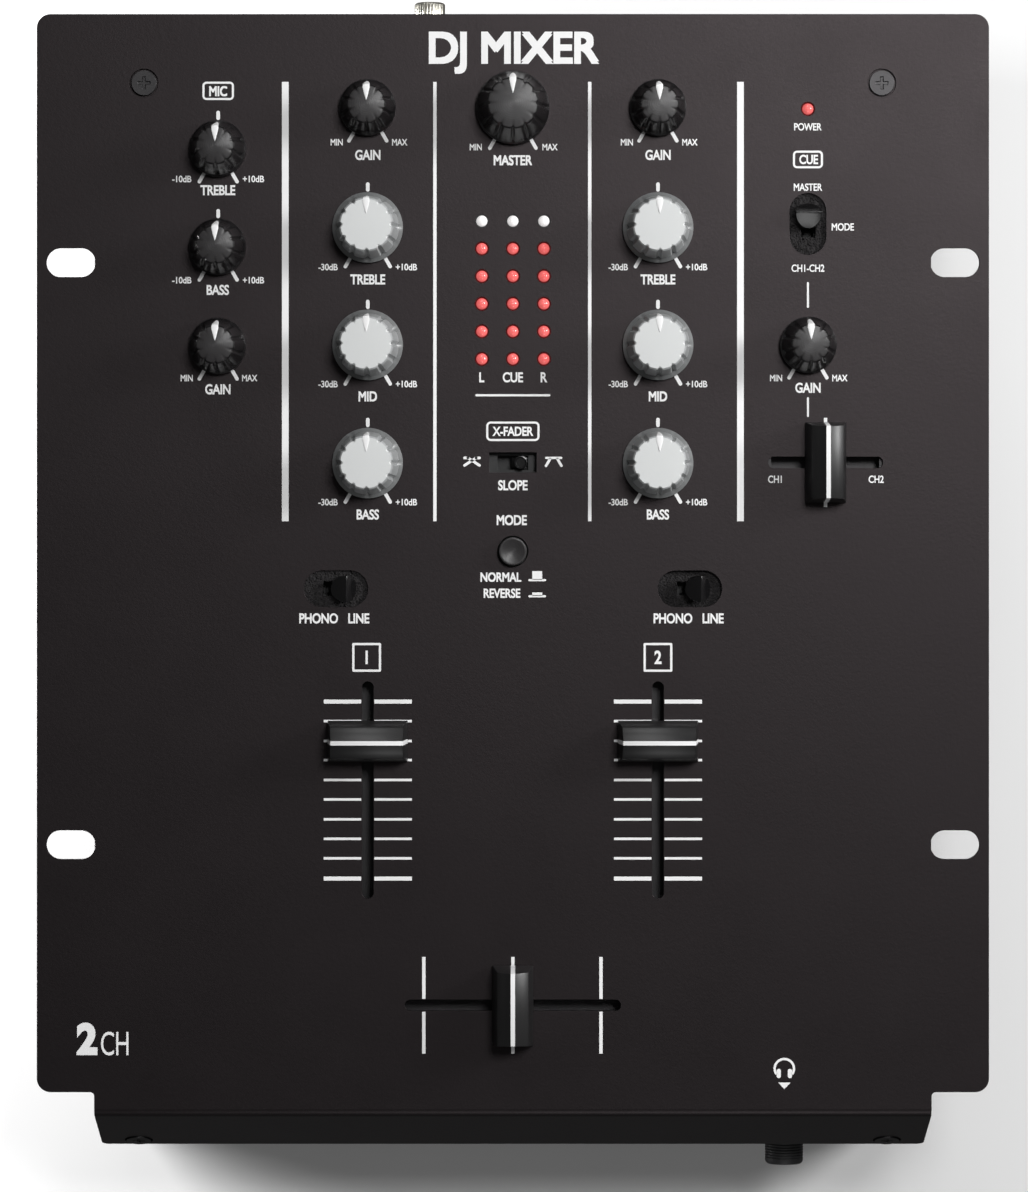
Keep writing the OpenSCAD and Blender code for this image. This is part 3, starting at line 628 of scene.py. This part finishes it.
post = lathe([(0, -1.5), (1.28, -1.5), (1.35, -1.4), (1.42, -0.62), (1.55, -0.5), (1.7, -0.52), (1.8, -0.7),
              (1.8, -6.0), (0, -6.0)], 64)
slider = slab([(-2.5, -1.9), (2.5, -1.9), (2.5, 1.9), (-2.5, 1.9)], -7.8, -5.2)
join(post, soften(slider, 0.2))
finish_piece(post, "slope_post_moulded", "slope_post", ["lever"],
             at_point(above("slope_post")), ["slope_post"])


def jack_nut(bm, matrix):
    """A round nut with a chamfer and a shallow knurl."""
    nut = lathe([(5.3, 0.05), (6.7, 0.05), (7.0, 0.35), (7.0, 1.9), (6.4, 2.5), (5.3, 2.5)], 120, True)
    for v in nut.verts:
        r = math.hypot(v.co.x, v.co.y)
        if r > 6.9:
            v.co *= 1 - 0.012 * (1 + math.cos(24 * math.atan2(v.co.y, v.co.x)))
    join(bm, nut, matrix)


FORWARDS = Matrix.Rotation(math.radians(90), 4, "X")
BACKWARDS = Matrix.Rotation(math.radians(-90), 4, "X")
nuts = bmesh.new()
headphone = Vector((74.8 * MM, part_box("front_wall")[0].y, JACK_Z * MM))
microphone = Vector((-88 * MM, REAR_WALL, JACK_Z * MM))
jack_nut(nuts, at_point(headphone, FORWARDS))
jack_nut(nuts, at_point(microphone, BACKWARDS))
finish_piece(nuts, "jack_nuts_turned", "root", ["black_steel"], replaces=["jack_nuts"])


def jack(bm, place, turn, reach):
    """A socket: its body behind the wall and a threaded nose with a rounded lip."""
    thread = []
    z = -1.6
    while z < reach - 1.6:
        thread += [(5.25, z), (5.08, z + 0.25), (5.25, z + 0.5)]
        z += 0.75
    nose = lathe([(5.1, -2.4)] + thread + [(5.25, reach - 0.9), (5.05, reach - 0.35), (4.6, reach), (3.75, reach),
                 (3.35, reach - 0.3), (3.2, reach - 0.8), (3.2, -20), (4.0, -20), (4.0, -2.4)], 72, True)
    join(bm, nose, at_point(place, turn))
    body = slab([(-8, -7), (8, -7), (8, 7), (-8, 7)], -22, -1.52)
    join(bm, soften(body, 0.6), at_point(place, turn))


jacks = bmesh.new()
jack(jacks, headphone, FORWARDS, 9.5)
jack(jacks, microphone, BACKWARDS, 5)
finish_piece(jacks, "jacks_moulded", "root", ["dark_plastic"], replaces=["phone_jacks"])

stud = PIVOTS["ground_thumb_nut"]
thumb = lathe([(2.06, 3.5), (3.9, 3.5), (4.2, 3.8), (4.2, 5.4), (4.0, 5.6), (4.0, 5.9), (4.2, 6.1), (4.2, 12.9),
               (3.9, 13.3), (3.4, 13.5), (2.3, 13.5), (2.06, 13.2)], 180, True)
for v in thumb.verts:
    if v.co.z > 6 and math.hypot(v.co.x, v.co.y) > 4.1:
        shrink = 1 - 0.022 * (1 + math.cos(30 * math.atan2(v.co.y, v.co.x)))
        v.co.x *= shrink
        v.co.y *= shrink
finish_piece(thumb, "thumb_nut_knurled", "ground_thumb_nut", ["nickel"],
             at_point(Vector((stud.x, REAR_WALL, stud.z)), BACKWARDS), ["ground_thumb_nut"], 50)

feet = bmesh.new()
for x, d in ((-90, 30), (90, 30), (-90, 275), (90, 275)):
    foot = lathe([(3.3, 0.3), (3.6, 0), (6.6, 0), (7.0, 0.35), (7.2, 1.2), (7.85, 5.5), (8.0, 5.98), (1.65, 5.98),
                  (1.65, 3.02), (3.3, 3.02)], 72, True)
    join(feet, foot, Matrix.Translation((x * MM, REAR - d * MM, 0)) @ Matrix.Scale(MM, 4))
finish_piece(feet, "feet_moulded", "root", ["rubber"], replaces=["rubber_feet"], sharp=35)


# ---------------------------------------------------------------- print

NARROW = 0.8
FONT_CAP = 0.682
REAR_BOLD = 0.034


def bar(bm, x, d, length, width, angle=0, rounded=True, matrix=None):
    """A stroke of ink, length long along its angle from X."""
    part = bmesh.new()
    if rounded:
        bmesh.ops.create_circle(part, cap_ends=True, radius=width / 2, segments=16)
        bmesh.ops.rotate(part, verts=part.verts, cent=(0, 0, 0), matrix=Matrix.Rotation(TURN / 32, 3, "Z"))
        for v in part.verts:
            v.co.x += math.copysign((length - width) / 2, v.co.x)
        raise_faces(part, INK)
    else:
        bmesh.ops.create_cube(part, size=1)
        bmesh.ops.scale(part, verts=part.verts, vec=(length, width, INK))
        bmesh.ops.translate(part, verts=part.verts, vec=(0, 0, INK / 2))
    turn = Matrix.Rotation(math.radians(angle), 4, "Z")
    join(bm, part, (matrix or on_panel(x, d)) @ turn)


def stroke(bm, points, width):
    """A rounded line through points given as x and d."""
    for (x0, d0), (x1, d1) in zip(points, points[1:]):
        length = math.hypot(x1 - x0, d1 - d0) + width
        bar(bm, (x0 + x1) / 2, (d0 + d1) / 2, length, width, math.degrees(math.atan2(d0 - d1, x1 - x0)))


def frame_line(bm, x, d, width, height, line, r):
    """A rounded rectangle drawn as a line."""
    frame_bm, loops = bmesh.new(), []
    for grow in (0, -line):
        w, h, q = width / 2 + grow, height / 2 + grow, max(r + grow, 0.15)
        ring = []
        for cx, cy, start in ((w - q, h - q, 0), (q - w, h - q, 90), (q - w, q - h, 180), (w - q, q - h, 270)):
            for step in range(6):
                a = math.radians(start + step * 18)
                ring.append(frame_bm.verts.new((cx + q * math.cos(a), cy + q * math.sin(a), 0)))
        loops.append([frame_bm.edges.new((a, b)) for a, b in zip(ring, ring[1:] + ring[:1])])
    bmesh.ops.bridge_loops(frame_bm, edges=loops[0] + loops[1])
    join(bm, raise_faces(frame_bm, INK), on_panel(x, d))


def arc_line(bm, x, d, radius, width, start, end):
    """Part of a ring of ink, from start to end degrees."""
    part = bmesh.new()
    bmesh.ops.create_cube(part, size=1)
    bmesh.ops.scale(part, verts=part.verts, vec=(width, 0.001, INK))
    bmesh.ops.translate(part, verts=part.verts, vec=(radius, 0, INK / 2))
    bmesh.ops.delete(part, geom=[f for f in part.faces if f.normal.y < 0.5], context="FACES")
    bmesh.ops.rotate(part, verts=part.verts, cent=(0, 0, 0), matrix=Matrix.Rotation(math.radians(start), 3, "Z"))
    bmesh.ops.spin(part, geom=part.verts[:] + part.edges[:] + part.faces[:], cent=(0, 0, 0), axis=(0, 0, 1),
                   angle=math.radians(end - start), steps=40)
    join(bm, outwards(part), on_panel(x, d))


def thicken(bm, by, narrow):
    """Widens strokes with copies set apart, each a hair lower than the last."""
    first = bm.verts[:] + bm.edges[:] + bm.faces[:]
    for step, (across, along) in enumerate(((-1, 1), (1, -1), (-1, -1))):
        copy = bmesh.ops.duplicate(bm, geom=first)["geom"]
        verts = [v for v in copy if isinstance(v, bmesh.types.BMVert)]
        bmesh.ops.translate(bm, verts=verts, vec=(across * by * narrow, along * by, -0.0015 * (step + 1)))
    bmesh.ops.translate(bm, verts=[v for v in first if isinstance(v, bmesh.types.BMVert)], vec=(by * narrow, by, 0))


def letters(bm, text, matrix, cap, bold=REAR_BOLD, narrow=NARROW):
    """A word centred on its place, cap mm high.

    An offset folds the inner corners of an M, so copies thicken a word that has one.
    """
    size = cap / (FONT_CAP + 2 * bold)
    curve = bpy.data.curves.new("word", "FONT")
    curve.body = text
    curve.size = 1
    curve.offset = 0 if "M" in text else bold
    curve.extrude = 0.5 * INK / size
    curve.resolution_u = 5
    curve.space_character = 0.97
    word = bpy.data.objects.new("word", curve)
    bpy.context.scene.collection.objects.link(word)
    mesh = bpy.data.meshes.new_from_object(word.evaluated_get(bpy.context.evaluated_depsgraph_get()))
    bpy.data.objects.remove(word)
    part = bmesh.new()
    part.from_mesh(mesh)
    bpy.data.meshes.remove(mesh)
    xs = [v.co.x for v in part.verts]
    bmesh.ops.translate(part, verts=part.verts, vec=(-(min(xs) + max(xs)) / 2, -FONT_CAP / 2, 0))
    bmesh.ops.scale(part, verts=part.verts, vec=(size * narrow, size, size))
    bmesh.ops.translate(part, verts=part.verts, vec=(0, 0, INK / 2))
    bmesh.ops.remove_doubles(part, verts=part.verts, dist=1e-5)
    if "M" in text:
        thicken(part, bold * size, narrow)
    join(bm, part, matrix)


BIG = 2.7
FRAMED = 2.5
MEDIUM = 1.95
LITTLE = 1.75
HEADPHONE_MARK = (72.4, 281.3)
WORDS = [
    ("-10dB", -88.3, 44.0, LITTLE), ("+10dB", -69.2, 44.0, LITTLE), ("TREBLE", -78.7, 47.0, BIG),
    ("-10dB", -88.3, 71.0, LITTLE), ("+10dB", -69.2, 71.0, LITTLE), ("BASS", -78.7, 73.6, BIG),
    ("MIN", -87.0, 97.1, LITTLE), ("MAX", -70.2, 97.1, LITTLE), ("GAIN", -78.7, 100.1, BIG),
    ("MIN", -9.9, 35.5, LITTLE), ("MAX", 9.9, 35.5, LITTLE), ("MASTER", 0.0, 39.0, BIG),
    ("POWER", 78.7, 30.1, MEDIUM), ("CUE", 78.9, 38.8, FRAMED), ("MASTER", 78.7, 46.2, MEDIUM),
    ("MODE", 88.0, 56.8, MEDIUM), ("CH1-CH2", 78.7, 67.8, MEDIUM), ("MIN", 70.2, 97.1, LITTLE),
    ("MAX", 87.2, 97.1, LITTLE), ("GAIN", 78.7, 99.7, BIG), ("CH1", 69.9, 124.1, MEDIUM), ("CH2", 96.9, 124.1, MEDIUM),
    ("L", -8.3, 96.9, BIG), ("CUE", 0.0, 96.9, BIG), ("R", 8.3, 96.9, BIG), ("X-FADER", 0.0, 111.3, FRAMED),
    ("SLOPE", 0.0, 125.7, BIG), ("MODE", -0.3, 135.0, BIG), ("NORMAL", -3.2, 150.2, 2.5),
    ("REVERSE", -2.9, 154.5, 2.5), ("PHONO", -51.8, 161.2, BIG), ("LINE", -41.1, 161.2, BIG),
    ("PHONO", 42.7, 161.2, BIG), ("LINE", 53.4, 161.2, BIG), ("1", -39.0, 171.6, 3.6), ("2", 38.7, 171.6, 3.6),
    ("MIC", MIC_X, 20.6, BIG),
]
for side in (-1, 1):
    x = side * CHANNEL_X
    WORDS += [("MIN", x - 8.3, 34.2, LITTLE), ("MAX", x + 8.5, 34.2, LITTLE), ("GAIN", x, 37.6, BIG)]
    for d, word in ((67.5, "TREBLE"), (98.7, "MID"), (130.2, "BASS")):
        WORDS += [("-30dB", x - 10.6, d, LITTLE), ("+10dB", x + 10.3, d, LITTLE), (word, x, d + 3.3, BIG)]

printed = bmesh.new()
for word, x, d, cap in WORDS:
    letters(printed, word, on_panel(x, d), cap, 0.03 if cap > 2 else 0.02, 0.92 if "dB" in word else NARROW)
letters(printed, "DJ MIXER", on_panel(0.3, 9.0), 8.6, 0.03, 0.98)
letters(printed, "2", on_panel(-113.6, 273.4), 8.6, 0.05, 0.95)
letters(printed, "CH", on_panel(-106.2, 274.6), 6.2, 0.0, 0.62)

for name, reach in [(n, SMALL_R) for n in SMALL] + [(n, TONE_R) for n in TONE] + [("master", MASTER_R)]:
    pivot = PIVOTS[name + "_knob"]
    x, d = pivot.x / MM, (REAR - pivot.y) / MM
    for angle in (-120, -60):
        r = reach + 1.4
        a = math.radians(angle)
        bar(printed, x + r * math.cos(a), d - r * math.sin(a), 3.3, 0.98, angle)
    if name in TONE + ["mic_treble", "mic_bass"]:
        bar(printed, x, d - reach - 1.45, 2.5, 1.0, 90)

for x, width in ((-60.7, 1.8), (60.7, 1.8), (-20.8, 0.9), (20.5, 0.9)):
    bar(printed, x, 76.7, 117.2, width, 90, rounded=False)
bar(printed, 0, 101.7, 20, 0.6)
for d0, d1 in ((71.5, 78.4), (102.2, 107.5)):
    bar(printed, CUE_X, (d0 + d1) / 2, d1 - d0, 0.55, 90)
frame_line(printed, MIC_X, 20.5, 8.4, 4.9, 0.55, 1.1)
frame_line(printed, CUE_X, 38.8, 8.0, 4.7, 0.55, 1.1)
frame_line(printed, 0.0, 111.3, 14.2, 5.2, 0.55, 1.2)
frame_line(printed, -39.0, 171.6, 7.7, 7.7, 0.6, 0.35)
frame_line(printed, 38.7, 171.6, 7.7, 7.7, 0.6, 0.35)

FADER_TICKS = [183.4, 188.6, 193.9, 199.0, 204.3, 209.5, 214.8, 220.0, 225.2, 230.6]
for side in (-1, 1):
    for place, d in enumerate(FADER_TICKS):
        thick = 1.07 if place in (0, len(FADER_TICKS) - 1) else 0.67
        for edge in (-1, 1):
            bar(printed, side * CHANNEL_X + edge * 6.75, d, 10, thick, 0, rounded=False)
for x, d, reach in ((-23.75, 264.4, 12.9), (0, 264.4, 12.9), (23.5, 264.4, 12.9), (83.4, 119.6, 11.9)):
    for side in (-1, 1):
        bar(printed, x, d + side * (reach + 1.7) / 2, reach - 1.7, 0.9, 90, rounded=False)

for flip in (-1, 1):
    stroke(printed, [(-10.9 - 2.0 * flip, 118.4), (-10.9 - 1.1 * flip, 118.4), (-10.9 + 2.0 * flip, 120.4)], 0.72)
    stroke(printed, [(10.9 + 1.0 * flip, 118.7), (10.9 + 2.05 * flip, 120.5)], 0.72)
stroke(printed, [(8.9, 118.4), (12.9, 118.4)], 0.6)

for d, tall in ((151.0, 2.3), (155.3, 0.9)):
    bar(printed, 6.5, d, 4.75, 0.6)
    bar(printed, 6.5, d - tall / 2 - 0.1, 2.65, tall, 0, rounded=False)

x, d = HEADPHONE_MARK
arc_line(printed, x, d, 2.58, 0.62, -36, 216)
for side in (-1, 1):
    bar(printed, x + side * 1.48, d + 1.3, 2.5, 1.15, 90)
join(printed, slab([(0, -1.75), (-1.65, 0), (1.65, 0)], 0, INK), on_panel(x, d + 3.7))
finish_piece(printed, "panel_print", "root", ["ink"], sharp=20)


# ---------------------------------------------------------------- print on the rear

rear_print = bmesh.new()


def on_rear(x, z):
    """A place on the rear wall, for print that is read from behind."""
    turn = Matrix.Rotation(math.pi, 4, "Z") @ Matrix.Rotation(math.radians(90), 4, "X")
    return Matrix.Translation((x * MM, REAR_WALL, z * MM)) @ Matrix.Scale(MM, 4) @ turn


for word, x, z, cap in (
    ("MIC", -88, 58, 2.4), ("PHONO", -62, 60.5, 2.2), ("LINE", -44, 60.5, 2.2), ("CH 1", -53, 66, 2.4),
    ("GND", -22.9, 52, 2.2), ("PHONO", -2, 60.5, 2.2), ("LINE", 16, 60.5, 2.2), ("CH 2", 7, 66, 2.4),
    ("REC", 38, 60.5, 2.2), ("MASTER", 56, 60.5, 2.2), ("OUT", 47, 66, 2.4), ("POWER", 92, 58, 2.2),
    ("DC IN", 75, 39, 2.2), ("L", -70, 48, 2.2), ("R", -70, 34, 2.2), ("L", -10, 48, 2.2), ("R", -10, 34, 2.2),
    ("L", 30, 48, 2.2), ("R", 30, 34, 2.2),
):
    letters(rear_print, word, on_rear(x, z), cap)
for x in (-53, 7, 47):
    for side in (-1, 1):
        bar(rear_print, 0, 0, 9, 0.4, 0, matrix=on_rear(x + side * 9.5, 66))
finish_piece(rear_print, "rear_print", "root", ["ink"], sharp=20)


# ---------------------------------------------------------------- floor, light and camera


def stage_piece(name, bm, finish):
    """Makes an object that isn't part of the mixer."""
    mesh = bpy.data.meshes.new(name)
    bm.to_mesh(mesh)
    bm.free()
    piece = bpy.data.objects.new(name, mesh)
    mesh.materials.append(finish)
    bpy.context.scene.collection.objects.link(piece)
    return piece


FLOOR_HALF = 4
CAMERA_Y = REAR - 129.8 * MM
CAMERA_HEIGHT = 1.3

floor = bmesh.new()
bmesh.ops.create_grid(floor, x_segments=1, y_segments=1, size=FLOOR_HALF)
pale = Finish("floor_pale")
pale.colour((0.80, 0.80, 0.80), (0.82, 0.82, 0.82), pale.grain(400, 2))
pale.feed("Roughness", pale.grain(300, 2) * 0.1 + 0.75)
mixer = [piece for piece in bpy.context.scene.objects if piece.type == "MESH"]
ground = stage_piece("floor", floor, pale.material)
ground.visible_glossy = False


def area_light(name, place, aim, size, power, height=None, only=()):
    """A soft light, round unless it has a height of its own, which may fall on some objects only."""
    data = bpy.data.lights.new(name, "AREA")
    data.shape = "RECTANGLE" if height else "DISK"
    data.size = size
    data.size_y = height or size
    data.energy = power
    lamp = bpy.data.objects.new(name, data)
    lamp.location = place
    lamp.rotation_euler = (Vector(aim) - Vector(place)).to_track_quat("-Z", "Y").to_euler()
    lamp.visible_camera = False
    bpy.context.scene.collection.objects.link(lamp)
    if only:
        lamp.light_linking.receiver_collection = bpy.data.collections.new(name)
        for obj in only:
            lamp.light_linking.receiver_collection.objects.link(obj)


area_light("key", (0.3, 0.4, 1.49), (0, 0, 0.08), 0.35, 8)
area_light("right", (0.85, 0.3, 0.55), (0.05, 0, 0.09), 0.3, 8)
area_light("rear", (-0.1, 1.5, 0.8), (0, 0, 0.08), 0.6, 5)
area_light("front", (0.1, -0.7, 0.5), (0, -0.2, 0), 0.3, 0.7)
area_light("low left", (-0.25, 0.02, 0.028), (0, 0.02, 0.022), 0.36, 2.6, 0.03, mixer)
area_light("floor wash", (-0.45, 0.1, 0.35), (-0.2, 0, 0), 0.3, 4.6, only=[ground])
world = bpy.data.worlds.new("studio")
world.use_nodes = True
world.node_tree.nodes["Background"].inputs["Color"].default_value = (1, 1, 1, 1)
world.node_tree.nodes["Background"].inputs["Strength"].default_value = 0.075
bpy.context.scene.world = world

camera = bpy.data.cameras.new("camera")
camera.lens = 147.2
camera.sensor_width = 36
camera.shift_y = -0.08
camera.clip_end = 20
view = bpy.data.objects.new("camera", camera)
view.location = (0.0003, CAMERA_Y, FACE + CAMERA_HEIGHT)
bpy.context.scene.collection.objects.link(view)
bpy.context.scene.camera = view
bpy.context.scene.view_settings.view_transform = "Standard"
